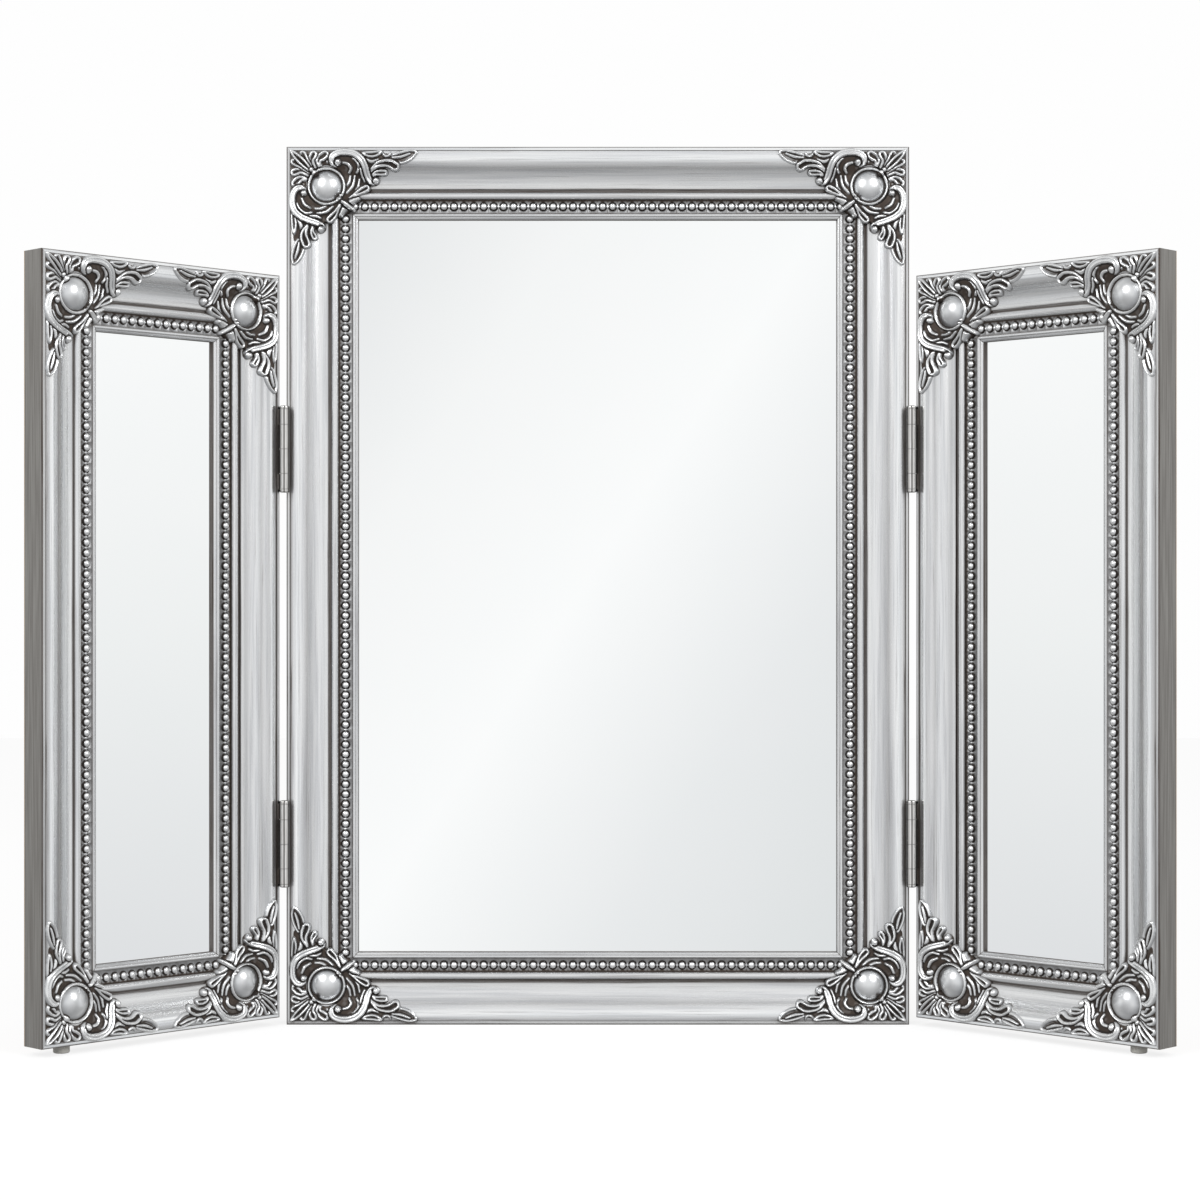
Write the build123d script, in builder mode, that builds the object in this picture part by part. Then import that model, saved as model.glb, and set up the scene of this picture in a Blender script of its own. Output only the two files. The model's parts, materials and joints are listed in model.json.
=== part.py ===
from build123d import *
import os
from math import sqrt

# Triple dressing table mirror: a tall centre panel and two lower wings that swing on butt hinges.
# Each panel is a mitred frame of silvered moulding round a mirror glass, with a row of beads
# near the glass and a scrolled ornament on every corner.
# Millimetres: X to the right, Y to the back, Z up. The origin is the middle of the underside of
# the centre panel. Depths are measured back from the front plane of a panel.

# Panels
centre_width = 400.0
centre_height = 564.0
wing_width = 180.0
wing_height = 476.0
wing_raise = 5.0  # the wings hang clear of the table by this
wing_angle = 45.0  # how far the wings stand forward as the mirror is used
panel_thickness = 19.0

# Moulding, from its outer edge to the sight edge beside the glass
moulding_width = 45.5
edge_round = 0.8
rim_width = 2.2
rim_step = 0.6
crest_place = 7.2
crest_depth = 0.15
shoulder_width = 13.5
shoulder_depth = 2.8
cove_depth = 7.0
quirk_width = 1.8
quirk_depth = 8.3
torus_width = 4.8
torus_depth = 5.9
channel_width = 8.8
channel_depth = 9.2
lip_width = 3.9
lip_bead_width = 2.2
lip_bead_depth = 8.1
sight_depth = 11.0
sight_wall = 1.5
rebate_width = 6.5

# Glass, backing board and the steel points that hold them in the rebate
glass_thickness = 3.0
glass_gap = 0.5
glass_arris = 0.3
board_thickness = 2.5
point_width = 10.0
point_show = 7.0
point_drive = 5.0
point_thickness = 0.4
point_spacing = 190.0
point_clearance = 0.05

# Bead rows
bead_radius = 2.4
bead_pitch = 6.4
bead_lift = 0.3
bead_link_radius = 0.9
bead_start = 49.5  # from the panel's corner to the first bead that may stand there

# Corner ornament, drawn from the panel's corner: x along the rail and y along the stile
base_rise = 0.5
leaf_rise = 1.5
scroll_rise = 2.4
scroll_width = 3.2
cabochon_place = (25.2, 24.9)
cabochon_radius = 9.5
cabochon_seat_depth = 4.6
cabochon_top_depth = 0.2
ring_inner_radius = 10.8
ring_outer_radius = 12.3
ring_depth = 3.0

# Hinges
hinge_inset = 111.5  # from a wing's end to the middle of its hinge
barrel_length = 51.0
barrel_radius = 3.45
middle_knuckle_length = 15.4  # of each of the two in the middle
knuckle_gap = 0.3
leaf_length = 54.6
leaf_thickness = 1.5
leaf_depth = 14.0
leaf_notch = 0.5  # how far a leaf stands back beside the other leaf's knuckles
panel_gap = 1.6  # between the side walls when the panels are in line
hinge_standoff = 3.8  # from the front plane to the hinge axis
pin_clearance = 0.05
pin_head_radius = 3.2
pin_head_height = 2.0
pin_head_round = 0.9

# Hinge screws
screw_radius = 1.25
screw_head_radius = 2.6
screw_head_angle = 90.0
screw_length = 14.0
screw_clearance = 0.05
screw_spacing = 18.0
screw_slot_width = 0.5
screw_slot_depth = 0.5

# Glides under the wings
glide_radius = 5.0
glide_round = 1.0
glide_inset = 20.0
glide_nail_radius = 1.5
glide_nail_length = 12.0

# Places that follow from the sizes above
front_y = -panel_thickness / 2
front = Vector(0, -1, 0)
cove_end = moulding_width - lip_width - channel_width - torus_width - quirk_width
quirk_end = cove_end + quirk_width
torus_end = quirk_end + torus_width
channel_end = torus_end + channel_width
bead_row = torus_end + channel_width / 2
glass_seat = sight_depth + sight_wall
rebate_edge = moulding_width - rebate_width
glass_back = glass_seat + glass_thickness
board_back = glass_back + board_thickness
hinge_x = centre_width / 2 + panel_gap / 2
hinge_y = front_y - hinge_standoff
hinge_heights = (wing_raise + hinge_inset, wing_raise + wing_height - hinge_inset)
pin_radius = barrel_radius - leaf_thickness - pin_clearance
wing_left = centre_width / 2 + panel_gap

os.makedirs("parts", exist_ok=True)


def save(piece, label):
    """Name a finished piece and write its file."""
    piece.label = label
    export_step(piece, f"parts/{label}.step")


def panel_sides(left, bottom, width, height):
    """The four runs of a frame, each as its first corner, direction and length."""
    right = left + width
    top = bottom + height
    return {
        "bottom": (Vector(left, front_y, bottom), Vector(1, 0, 0), width),
        "right": (Vector(right, front_y, bottom), Vector(0, 0, 1), height),
        "top": (Vector(right, front_y, top), Vector(-1, 0, 0), width),
        "left": (Vector(left, front_y, top), Vector(0, 0, -1), height),
    }


def spot(side, distance, inset, depth):
    """A point on a run: along it, inwards from the outer edge and back from the front."""
    corner, along, _ = side
    return corner + along * distance + front.cross(along) * inset - front * depth


# Moulding


def moulding_outline():
    """Section of the moulding, x inwards from the outer edge and y to the front."""
    round_over = JernArc((0, -edge_round), (0, 1), edge_round, -90)
    rim = Polyline(round_over @ 1, (rim_width, 0), (rim_width, -rim_step))
    shoulder = ThreePointArc(
        rim @ 1, (crest_place, -crest_depth), (shoulder_width, -shoulder_depth)
    )
    cove = TangentArc(shoulder @ 1, (cove_end, -cove_depth), tangent=shoulder % 1)
    quirk = Polyline(cove @ 1, (cove_end, -quirk_depth), (quirk_end, -quirk_depth))
    torus = ThreePointArc(
        quirk @ 1, ((quirk_end + torus_end) / 2, -torus_depth), (torus_end, -quirk_depth)
    )
    channel = Polyline(torus @ 1, (torus_end, -channel_depth), (channel_end, -channel_depth))
    lip_bead = ThreePointArc(
        channel @ 1,
        (channel_end + lip_bead_width / 2, -lip_bead_depth),
        (channel_end + lip_bead_width, -channel_depth),
    )
    sight = TangentArc(lip_bead @ 1, (moulding_width, -sight_depth), tangent=(1, 0))
    Polyline(
        sight @ 1,
        (moulding_width, -glass_seat),
        (rebate_edge, -glass_seat),
        (rebate_edge, -panel_thickness),
        (0, -panel_thickness),
        round_over @ 0,
    )


def mitred_run(outline, side):
    """A straight run of a section, mitred at both corners."""
    corner, along, length = side
    inward = front.cross(along)
    with BuildPart() as run:
        with BuildSketch(Plane(origin=corner, x_dir=inward, z_dir=along)):
            with BuildLine():
                outline()
            make_face()
        extrude(amount=length)
        split(bisect_by=Plane(origin=corner, z_dir=along - inward))
        split(bisect_by=Plane(origin=corner + along * length, z_dir=-along - inward))
    return run.part


def point_places(side):
    """Where the steel points of one run are driven, as planes on the backing board."""
    _, along, length = side
    count = max(1, round(length / point_spacing))
    return [
        Plane(
            origin=spot(side, (i + 0.5) * length / count, rebate_edge, board_back),
            x_dir=along,
            z_dir=-front,
        )
        for i in range(count)
    ]


def point_box(clearance, mode):
    """A steel point, or its slot, lying on the board and driven into the rebate's wall."""
    grow = 2 * clearance
    drive = point_drive + clearance
    with Locations((0, (drive - point_show) / 2, point_thickness / 2)):
        Box(point_width + grow, drive + point_show, point_thickness + grow, mode=mode)


def hinge_mortise(x, face):
    """Recesses for the hinge leaves and the pilot holes of their screws, in a side wall."""
    for height in hinge_heights:
        with Locations((x - face * leaf_thickness / 2, front_y + leaf_depth / 2, height)):
            Box(leaf_thickness, leaf_depth, leaf_length, mode=Mode.SUBTRACT)
        with Locations(*screw_places(x, face, height)):
            Hole(screw_radius + screw_clearance, screw_length + screw_clearance)


def screw_places(x, face, height):
    """The three screws of a leaf, as planes on its outer face."""
    return [
        Plane(
            origin=(x, front_y + leaf_depth / 2, height + step * screw_spacing),
            x_dir=(0, 1, 0),
            z_dir=(face, 0, 0),
        )
        for step in (-1, 0, 1)
    ]


def frame_member(side, hinge_walls=()):
    """One rail or stile with the slots for its steel points and any hinge recesses."""
    with BuildPart() as member:
        add(mitred_run(moulding_outline, side))
        for place in point_places(side):
            with Locations(place):
                point_box(point_clearance, Mode.SUBTRACT)
        for x, face in hinge_walls:
            hinge_mortise(x, face)
    return member.part


# Bead row


def bead_outline(count):
    """Upper half of a string of balls and links, centred on its own axis."""
    reach = sqrt(bead_radius**2 - bead_link_radius**2)
    first = -(count - 1) * bead_pitch / 2
    at = (first - bead_radius, 0)
    for i in range(count):
        ball = first + i * bead_pitch
        after = (ball + reach, bead_link_radius) if i < count - 1 else (ball + bead_radius, 0)
        ThreePointArc(at, (ball, bead_radius), after)
        at = (ball + bead_pitch - reach, bead_link_radius)
        if i < count - 1:
            Line(after, at)
        else:
            Line(after, (first - bead_radius, 0))


def bead_strip(side):
    """Half-sunk beads on a thin cord, along the channel of one run."""
    _, along, length = side
    count = int((length - 2 * bead_start) // bead_pitch) + 1
    middle = spot(side, length / 2, bead_row, channel_depth - bead_lift)
    with BuildPart() as beads:
        with BuildSketch(Plane(origin=middle, x_dir=along, z_dir=along.cross(front))):
            with BuildLine():
                bead_outline(count)
            make_face()
        revolve(axis=Axis(middle, along))
        split(bisect_by=Plane(origin=middle - front * bead_lift, z_dir=front))
    return beads.part


# Corner ornament

silhouette = [
    (2.2, 2.2),
    (46, 2.0),
    (84.0, 2.2),
    (84.8, 4.6),
    (79.5, 9.8),
    (72, 14.5),
    (64, 17.8),
    (58.6, 23.4),
    (53, 26),
    (46, 32),
    (43.6, 40.6),
    (37, 43.6),
    (31, 46.5),
    (25.4, 51),
    (23.4, 54.8),
    (19.2, 56),
    (14, 67),
    (8.4, 75),
    (4.6, 76.8),
    (2.2, 73.5),
    (2.0, 45),
]

# Middle lines of the scrolls: three points of the first curl, then the ends of the arcs that follow
upper_scroll = [(32.4, 9.8), (28.6, 8.0), (31.4, 4.2), (44.0, 3.6), (51.0, 14.5), (57.0, 20.8)]
side_scroll = [(10.6, 29.7), (8.0, 26.8), (4.6, 29.6), (5.0, 41.6), (15.4, 47.8), (22.2, 52.8)]
scroll_end_radius = 1.9

# Leaves as first point, tip and width
leaves = [
    ((14.5, 13.8), (2.8, 2.8), 3.6),
    ((17.5, 14.0), (9.6, 2.8), 3.6),
    ((21.0, 13.0), (17.6, 2.8), 4.2),
    ((24.5, 12.6), (26.2, 3.2), 4.2),
    ((14.0, 17.5), (2.8, 9.6), 3.6),
    ((13.0, 21.0), (2.8, 17.0), 4.2),
    ((12.6, 24.5), (3.2, 25.0), 4.2),
    ((49.0, 4.6), (61.5, 4.4), 3.0),
    ((54.0, 13.0), (71.5, 11.6), 5.4),
    ((54.0, 17.6), (64.0, 15.4), 3.0),
    ((63.5, 8.4), (84.0, 4.0), 5.6),
    ((3.6, 43.0), (4.2, 56.0), 3.0),
    ((10.0, 50.0), (12.6, 66.5), 5.4),
    ((15.6, 50.0), (17.2, 59.0), 3.0),
    ((6.6, 57.0), (5.0, 76.0), 5.4),
    ((37.0, 33.0), (52.5, 25.6), 4.0),
    ((33.0, 37.5), (26.4, 47.8), 4.0),
    ((34.2, 41.8), (44.6, 33.6), 3.6),
]

ornament_reach = 140.0  # of the corner moulding that the ornament is fitted over
ornament_front = 6.0  # in front of the panel, where its forms are drawn
corner_sides = (
    (Vector(ornament_reach, front_y, 0), Vector(-1, 0, 0), ornament_reach),
    (Vector(0, front_y, 0), Vector(0, 0, -1), ornament_reach),
)
drawing_plane = Plane(origin=(0, front_y - ornament_front, 0), x_dir=(1, 0, 0), z_dir=(0, 1, 0))

# Bed of the ornament: place inwards from the edge, depth of the moulding near it and lift over that
bed_turns = (
    (0, 0, -0.6),
    (crest_place, crest_depth, 0.4),
    (shoulder_width, shoulder_depth, 1.0),
    ((shoulder_width + cove_end) / 2, cove_depth, 1.7),
    (quirk_end, torus_depth, 0.5),
    (torus_end, torus_depth, 0.2),
    (channel_end, lip_bead_depth, 0.5),
    (moulding_width, sight_depth, 1.8),
)


def bed_outline(rise):
    """A soft line over the moulding that the ornament follows, raised by its relief."""

    def draw():
        bed = Polyline(*[(place, rise - depth + lift) for place, depth, lift in bed_turns])
        Polyline(bed @ 1, (moulding_width, -glass_seat), (0, -glass_seat), bed @ 0)

    return draw


def leaf_outline(start, tip, width):
    """A leaf between two points, as two arcs."""
    SagittaArc(start, tip, width / 2)
    SagittaArc(tip, start, width / 2)


def scroll_line(first, second, third, *others):
    """The middle line of a scroll, as tangent arcs."""
    arc = ThreePointArc(first, second, third)
    for point in others:
        arc = TangentArc(arc @ 1, point, tangent=arc % 1)


def topped(forms, rise):
    """Forms of the ornament, cut off where they reach their relief above the moulding."""
    with BuildPart() as bed:
        for side in corner_sides:
            add(mitred_run(bed_outline(rise), side))
    with BuildPart() as relief:
        add(forms)
        add(bed.part, mode=Mode.INTERSECT)
    return relief.part


def corner_ornament():
    """The ornament of an upper left corner at the origin, seated on the mitred moulding."""
    depth = ornament_front + glass_seat
    with BuildPart() as base_form:
        with BuildSketch(drawing_plane):
            Polygon(*silhouette, align=None)
        extrude(amount=depth)
    with BuildPart() as leaf_forms:
        with BuildSketch(drawing_plane):
            for start, tip, width in leaves:
                with BuildLine():
                    leaf_outline(start, tip, width)
                make_face()
        extrude(amount=depth)
    with BuildPart() as scroll_forms:
        with BuildSketch(drawing_plane):
            for path in (upper_scroll, side_scroll):
                with BuildLine():
                    scroll_line(*path)
                    offset(amount=scroll_width / 2, side=Side.BOTH)
                make_face()
                with Locations(path[0], path[-1]):
                    Circle(scroll_end_radius)
        extrude(amount=depth)
    with BuildPart() as ornament:
        add(topped(base_form.part, base_rise))
        add(topped(leaf_forms.part, leaf_rise))
        add(topped(scroll_forms.part, scroll_rise))
        add(cabochon())
        for side in corner_sides:
            add(mitred_run(moulding_outline, side), mode=Mode.SUBTRACT)
    return ornament.part


def cabochon():
    """The domed boss of the ornament and the ring round it, down to the moulding."""
    x, y = cabochon_place
    centre = (x, front_y, -y)
    ring_middle = (ring_inner_radius + ring_outer_radius) / 2
    ring_round = (ring_outer_radius - ring_inner_radius) / 2
    with BuildPart() as boss:
        with BuildSketch(Plane(origin=centre, x_dir=(1, 0, 0), z_dir=(0, 0, 1))):
            with BuildLine():
                dome = TangentArc(
                    (0, cabochon_top_depth), (cabochon_radius, cabochon_seat_depth), tangent=(1, 0)
                )
                Polyline(dome @ 1, (cabochon_radius, glass_seat), (0, glass_seat), dome @ 0)
            make_face()
            with BuildLine():
                top = ThreePointArc(
                    (ring_inner_radius, ring_depth + ring_round),
                    (ring_middle, ring_depth),
                    (ring_outer_radius, ring_depth + ring_round),
                )
                Polyline(
                    top @ 1,
                    (ring_outer_radius, glass_seat),
                    (ring_inner_radius, glass_seat),
                    top @ 0,
                )
            make_face()
        revolve(axis=Axis(centre, (0, 1, 0)))
    return boss.part


# Glass and board


def rebate_sheet(left, bottom, width, height, depth, thickness, arris):
    """A sheet that lies in the rebate of a panel, its edges clear of the rebate's walls."""
    inset = 2 * (rebate_edge + glass_gap)
    middle = (left + width / 2, front_y + depth + thickness / 2, bottom + height / 2)
    with BuildPart() as sheet:
        with Locations(middle):
            Box(width - inset, thickness, height - inset)
        if arris:
            chamfer(sheet.edges(), arris)
    return sheet.part


def steel_points(sides):
    """All the steel points of a panel, flat on the backing board."""
    with BuildPart() as points:
        for side in sides.values():
            for place in point_places(side):
                with Locations(place):
                    point_box(0, Mode.ADD)
    return points.part


# Hinges


def hinge_leaf(wall_x, face, height, own_knuckles, other_knuckles):
    """A leaf let into a side wall, with its knuckles round the pin and room for the others."""
    plate_x = wall_x - face * leaf_thickness / 2
    with BuildPart() as hinge:
        with Locations((plate_x, front_y + leaf_depth / 2, height)):
            Box(leaf_thickness, leaf_depth, leaf_length)
        for low, high in other_knuckles:
            with Locations((plate_x, front_y + leaf_notch / 2, height + (low + high) / 2)):
                Box(leaf_thickness, leaf_notch, high - low + 2 * knuckle_gap, mode=Mode.SUBTRACT)
        for low, high in own_knuckles:
            with Locations((plate_x, front_y - hinge_standoff / 2, height + (low + high) / 2)):
                Box(leaf_thickness, hinge_standoff, high - low)
            with Locations((hinge_x, hinge_y, height + (low + high) / 2)):
                Cylinder(barrel_radius, high - low)
        with Locations((hinge_x, hinge_y, height)):
            Cylinder(pin_radius + pin_clearance, leaf_length, mode=Mode.SUBTRACT)
        with Locations(*screw_places(wall_x, face, height)):
            CounterSinkHole(
                screw_radius + screw_clearance,
                screw_head_radius + screw_clearance,
                leaf_thickness,
                screw_head_angle,
            )
    return hinge.part


def hinge_pins():
    """The pins of both hinges of the right wing, with their rounded heads."""
    head_middle = barrel_length / 2 + knuckle_gap + pin_head_height / 2
    with BuildPart() as pin:
        Cylinder(pin_radius, barrel_length + 2 * knuckle_gap)
        with Locations((0, 0, head_middle), (0, 0, -head_middle)):
            Cylinder(pin_head_radius, pin_head_height)
        outer_edges = pin.edges().filter_by(GeomType.CIRCLE).group_by(Axis.Z)
        fillet(outer_edges[0] + outer_edges[-1], pin_head_round)
    with BuildPart() as pins:
        with Locations(*[(hinge_x, hinge_y, height) for height in hinge_heights]):
            add(pin.part)
    return pins.part


def screw_group(walls):
    """Countersunk screws for the leaves on the given side walls."""
    cone_height = screw_head_radius - screw_radius
    with BuildPart() as screw:
        with BuildSketch(Plane.XZ):
            Polygon(
                (0, 0),
                (screw_head_radius, 0),
                (screw_radius, -cone_height),
                (screw_radius, 2 * screw_radius - screw_length),
                (0, -screw_length),
                align=None,
            )
        revolve(axis=Axis.Z)
        Box(2 * screw_head_radius, screw_slot_width, 2 * screw_slot_depth, mode=Mode.SUBTRACT)
    with BuildPart() as screws:
        for wall_x, face in walls:
            for height in hinge_heights:
                with Locations(*screw_places(wall_x, face, height)):
                    add(screw.part)
    return screws.part


# Glides


def glide_place():
    """The foot of the glide, under the outer end of the right wing before it is swung."""
    return (wing_left + wing_width - glide_inset, 0, 0)


def wing_glide():
    """A nylon glide with its nail, driven up into the wing's bottom rail."""
    with BuildPart() as glide:
        with Locations(glide_place()):
            Cylinder(glide_radius, wing_raise, align=(Align.CENTER, Align.CENTER, Align.MIN))
            fillet(glide.edges().group_by(Axis.Z)[0], glide_round)
            Cylinder(
                glide_nail_radius,
                wing_raise + glide_nail_length,
                align=(Align.CENTER, Align.CENTER, Align.MIN),
            )
    return glide.part


def with_glide_hole(rail):
    """A wing's bottom rail, drilled for the nail of its glide."""
    with BuildPart() as drilled:
        add(rail)
        with Locations(glide_place()):
            Cylinder(
                glide_nail_radius + point_clearance,
                wing_raise + glide_nail_length + point_clearance,
                align=(Align.CENTER, Align.CENTER, Align.MIN),
                mode=Mode.SUBTRACT,
            )
    return drilled.part


# Assembly

hinge_axis = Axis((hinge_x, hinge_y, 0), (0, 0, 1))


def save_centre(piece, label):
    """Write a piece of the centre panel."""
    save(piece, f"centre_{label}")


def save_wings(piece, label):
    """Write a piece of the right wing, swung forward, and its mirror image on the left wing."""
    right = piece.rotate(hinge_axis, -wing_angle)
    save(right, f"right_wing_{label}")
    save(mirror(right, about=Plane.YZ), f"left_wing_{label}")


def build_panel(put, left, bottom, width, height, members, corners, hinge_walls, glided):
    """Frame, beads, ornaments, glass, board and steel points of one panel."""
    sides = panel_sides(left, bottom, width, height)
    for where, (member_name, bead_name) in members.items():
        member = frame_member(sides[where], hinge_walls.get(where, ()))
        if glided and where == "bottom":
            member = with_glide_hole(member)
        put(member, member_name)
        put(bead_strip(sides[where]), bead_name)
    for (on_right, on_top), label in corners.items():
        piece = ornament if not on_right else mirror(ornament, about=Plane.YZ)
        piece = piece if on_top else mirror(piece, about=Plane.XY)
        corner = (left + width * on_right, 0, bottom + height * on_top)
        put(piece.moved(Location(corner)), label)
    opening = (left, bottom, width, height)
    put(rebate_sheet(*opening, glass_seat, glass_thickness, glass_arris), "mirror_glass")
    put(rebate_sheet(*opening, glass_back, board_thickness, 0), "backing_board")
    put(steel_points(sides), "steel_points")


ornament = corner_ornament()

build_panel(
    save_centre,
    -centre_width / 2,
    0,
    centre_width,
    centre_height,
    {
        "bottom": ("bottom_rail", "bottom_beads"),
        "right": ("right_stile", "right_beads"),
        "top": ("top_rail", "top_beads"),
        "left": ("left_stile", "left_beads"),
    },
    {
        (0, 1): "top_left_ornament",
        (1, 1): "top_right_ornament",
        (0, 0): "bottom_left_ornament",
        (1, 0): "bottom_right_ornament",
    },
    {"right": [(centre_width / 2, 1)], "left": [(-centre_width / 2, -1)]},
    False,
)
build_panel(
    save_wings,
    wing_left,
    wing_raise,
    wing_width,
    wing_height,
    {
        "bottom": ("bottom_rail", "bottom_beads"),
        "right": ("outer_stile", "outer_beads"),
        "top": ("top_rail", "top_beads"),
        "left": ("hinge_stile", "hinge_beads"),
    },
    {
        (0, 1): "top_inner_ornament",
        (1, 1): "top_outer_ornament",
        (0, 0): "bottom_inner_ornament",
        (1, 0): "bottom_outer_ornament",
    },
    {"left": [(wing_left, -1)]},
    True,
)

end_knuckles = (
    (-barrel_length / 2, -middle_knuckle_length - 1.5 * knuckle_gap),
    (middle_knuckle_length + 1.5 * knuckle_gap, barrel_length / 2),
)
middle_knuckles = (
    (-middle_knuckle_length - knuckle_gap / 2, -knuckle_gap / 2),
    (knuckle_gap / 2, middle_knuckle_length + knuckle_gap / 2),
)
for height, level in zip(hinge_heights, ("lower", "upper")):
    leaf_on_centre = hinge_leaf(centre_width / 2, 1, height, middle_knuckles, end_knuckles)
    save(leaf_on_centre, f"centre_{level}_right_hinge_leaf")
    save(mirror(leaf_on_centre, about=Plane.YZ), f"centre_{level}_left_hinge_leaf")
    leaf_on_wing = hinge_leaf(wing_left, -1, height, end_knuckles, middle_knuckles)
    save_wings(leaf_on_wing, f"{level}_hinge_leaf")

pins = hinge_pins()
save(pins, "right_hinge_pins")
save(mirror(pins, about=Plane.YZ), "left_hinge_pins")
save(screw_group([(centre_width / 2, 1), (-centre_width / 2, -1)]), "centre_hinge_screws")
save_wings(screw_group([(wing_left, -1)]), "hinge_screws")
save_wings(wing_glide(), "glide")
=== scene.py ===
import json
import math

import bpy
import numpy as np
from mathutils import Matrix, Vector


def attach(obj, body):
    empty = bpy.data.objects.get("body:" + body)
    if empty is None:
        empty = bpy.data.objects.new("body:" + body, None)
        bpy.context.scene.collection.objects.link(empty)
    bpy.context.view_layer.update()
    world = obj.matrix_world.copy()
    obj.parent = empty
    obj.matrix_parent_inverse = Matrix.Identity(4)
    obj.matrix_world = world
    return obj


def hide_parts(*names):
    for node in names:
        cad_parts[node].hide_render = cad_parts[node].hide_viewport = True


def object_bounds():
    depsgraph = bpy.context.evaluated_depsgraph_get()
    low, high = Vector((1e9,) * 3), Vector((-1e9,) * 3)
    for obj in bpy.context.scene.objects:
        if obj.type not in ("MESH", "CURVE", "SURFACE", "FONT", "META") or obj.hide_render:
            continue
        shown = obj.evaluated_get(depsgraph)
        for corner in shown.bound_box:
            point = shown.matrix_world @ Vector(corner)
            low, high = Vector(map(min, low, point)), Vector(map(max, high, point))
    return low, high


# Looks of a triple dressing table mirror: silver leaf over carved and cast mouldings, rubbed
# back with dark wax, round three mirror glasses. Blender lengths are metres. Sizes of the
# object's detail are written in millimetres, and MM turns them into metres.

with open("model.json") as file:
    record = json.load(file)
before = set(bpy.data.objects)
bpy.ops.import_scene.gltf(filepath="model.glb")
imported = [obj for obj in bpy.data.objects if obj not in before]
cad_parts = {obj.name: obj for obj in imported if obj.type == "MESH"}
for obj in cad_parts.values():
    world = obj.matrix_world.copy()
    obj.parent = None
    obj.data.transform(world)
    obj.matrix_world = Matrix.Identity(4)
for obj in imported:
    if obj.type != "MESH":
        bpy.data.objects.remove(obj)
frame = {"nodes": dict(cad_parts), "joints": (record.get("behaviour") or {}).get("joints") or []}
cad_low, cad_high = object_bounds()

MM = 0.001

# Camera, from the photograph's perspective
IMAGE_SIZE = 1200
SENSOR_WIDTH = 36.0
CAMERA_DISTANCE = 1687.4
CAMERA_SIDE = -21.7
CAMERA_HEIGHT = 261.6
FOCAL_PIXELS = 2627.1
OPTICAL_CENTRE = (564.1, 617.5)

# Moulding, inwards from the outer edge, as the frame's own rails have it
MOULDING_WIDTH = 45.5
CHANNEL = (32.8, 41.6)
CHANNEL_DEPTH = 9.2
PANEL_THICKNESS = 19.0

# Dark wax and painted shade across the moulding: place inwards from the edge and how much of the
# leaf they hide. Wax fills the quirk and the bead channel; the dips on the ogee, the torus and the
# lip and the lines at both edges are painted shade. The stiles have their own painted shade by the
# rim, and the level rails their own on the hollow, so the two are lit and shaded copies of one
# finish.
WAX_REACH = MOULDING_WIDTH + 1.0
WAX_AND_SHADE_ACROSS = (
    (0.0, 0.85), (0.5, 0.7), (0.9, 0.0), (8.6, 0.0), (11.6, 0.12), (13.2, 0.3),
    (15.0, 0.05), (20.0, 0.02), (25.4, 0.12), (26.4, 0.6), (27.0, 0.9), (27.8, 0.9), (28.5, 0.1),
    (29.4, 0.0), (30.8, 0.16), (32.0, 0.0), (32.7, 0.5), (33.2, 0.95), (36.4, 0.85), (41.0, 0.5),
    (41.7, 0.8), (42.4, 0.0), (44.1, 0.25), (44.6, 0.0), (45.2, 0.1), (45.45, 0.95),
)  # fmt: skip
SHADE_BY_THE_STILE_RIM = (
    (0.5, 0.95), (0.9, 0.3), (1.8, 0.25), (2.2, 0.9), (2.8, 0.6), (4.4, 0.12), (6.0, 0.0),
)  # fmt: skip
SHADE_ON_THE_LEVEL_RAILS = ((20.0, 0.08), (25.4, 0.26))
RECESS_REACH = 6.0

# Streaks in the leaf: width, length and noise detail of the fine and of the cloudy ones
STREAKS = ((1.2, 70.0, 4.0), (4.0, 160.0, 3.0))

# Grime and painted shade in the joints of metal parts, and a painted reflection across a hinge
# barrel:
# place as a share of the reach from the hinge axis, and how dark it is
JOINT_REACH = 0.8
HINGE_AXIS = 200.8
BARREL_REFLECTION_REACH = 4.0
BARREL_PAINTED_REFLECTION = (
    (0.0, 0.9), (0.08, 0.8), (0.15, 0.0), (0.48, 0.05), (0.62, 0.85), (0.9, 0.97), (0.95, 0.0),
)  # fmt: skip

# Beads
BEAD_RADIUS = 2.4
BEAD_PITCH = 6.4
BEAD_DEPTH = 8.9

# Ornament: the soft line of its bed as place inwards from the edge and height before the
# front plane, and the turned cabochon that stands on a low hill
BED_PLACES = (0.0, 7.2, 13.5, 19.8, 28.0, 32.8, 41.6, 45.5, 60.0)
BED_HEIGHTS = (-0.6, 0.25, -1.8, -5.0, -5.2, -5.5, -7.4, -9.0, -9.2)
ORNAMENT_STEP = 0.36
ORNAMENT_START = 1.2
ORNAMENT_SPAN = (86.4, 78.4)
CABOCHON_PLACE = (25.4, 24.9)
CABOCHON_RADIUS = 9.9
CABOCHON_SEAT = -3.6
CABOCHON_TOP = 1.5
RING_RADIUS = 11.5
RING_WIDTH = 1.7
RING_TOP = -0.9
HILL_HEIGHT = -3.0
HILL_FALL = 6.0
HILL_REACH = (13.0, 25.0)


def linear(colour):
    """An sRGB hex colour, or a plain share of white, as linear RGBA."""
    if not isinstance(colour, str):
        return [colour, colour, colour, 1.0]
    parts = [int(colour[i : i + 2], 16) / 255 for i in (1, 3, 5)]
    return [c / 12.92 if c <= 0.04045 else ((c + 0.055) / 1.055) ** 2.4 for c in parts] + [1.0]


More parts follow.
